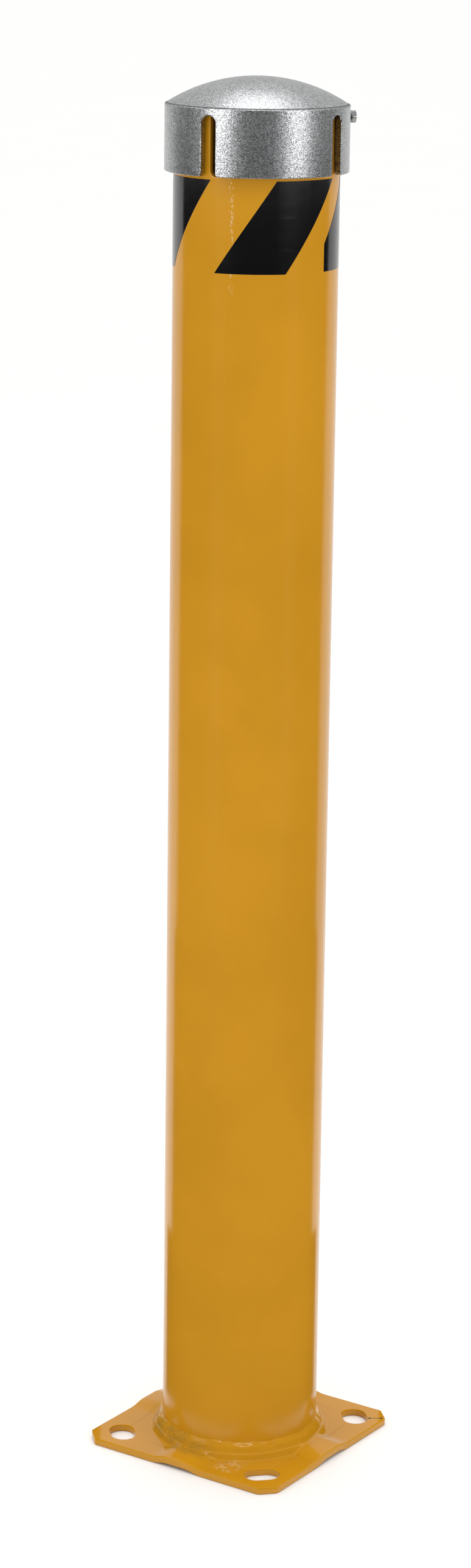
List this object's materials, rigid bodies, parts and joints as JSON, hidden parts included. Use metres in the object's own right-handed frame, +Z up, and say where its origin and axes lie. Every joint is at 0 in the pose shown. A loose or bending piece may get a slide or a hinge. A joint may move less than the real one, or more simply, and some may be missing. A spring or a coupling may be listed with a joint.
{
  "type": "surface-mounted safety bollard",
  "caption": "Round steel post welded to a pressed slotted base plate, with slanted warning stripes and a domed cast cap that lifts off once its lock screw is backed out.",
  "frame": {"origin": "centre of the base plate's underside, on the floor", "axes": "+Z up the post's axis; X and Y along the sides of the square base plate; the two stripes and the chain slot seen first face -Y"},
  "size_m": [0.2032, 0.2032, 1.2192],
  "materials": {
    "yellow_paint": "glossy powder coat",
    "cast_cap": "blasted casting",
    "zinc_plate": "bright zinc plate",
    "black_film": "smooth adhesive film"
  },
  "bodies": {
    "post": {"base_plate": "yellow_paint", "base_weld": "yellow_paint", "post_tube": "yellow_paint", "hazard_stripe_1": "black_film", "hazard_stripe_2": "black_film", "hazard_stripe_3": "black_film", "hazard_stripe_4": "black_film"},
    "cap": {"cap": "cast_cap"},
    "cap_screw": {"cap_screw": "zinc_plate"}
  },
  "joints": [
    {"name": "cap_lift", "type": "slide", "parent": "post", "child": "cap", "axis": [0, 0, 1], "range_m": [0, 0.06]},
    {"name": "cap_screw_back_out", "type": "slide", "parent": "cap", "child": "cap_screw", "axis": [0.6769, 0.7361, 0], "range_m": [0, 0.008]}
  ]
}
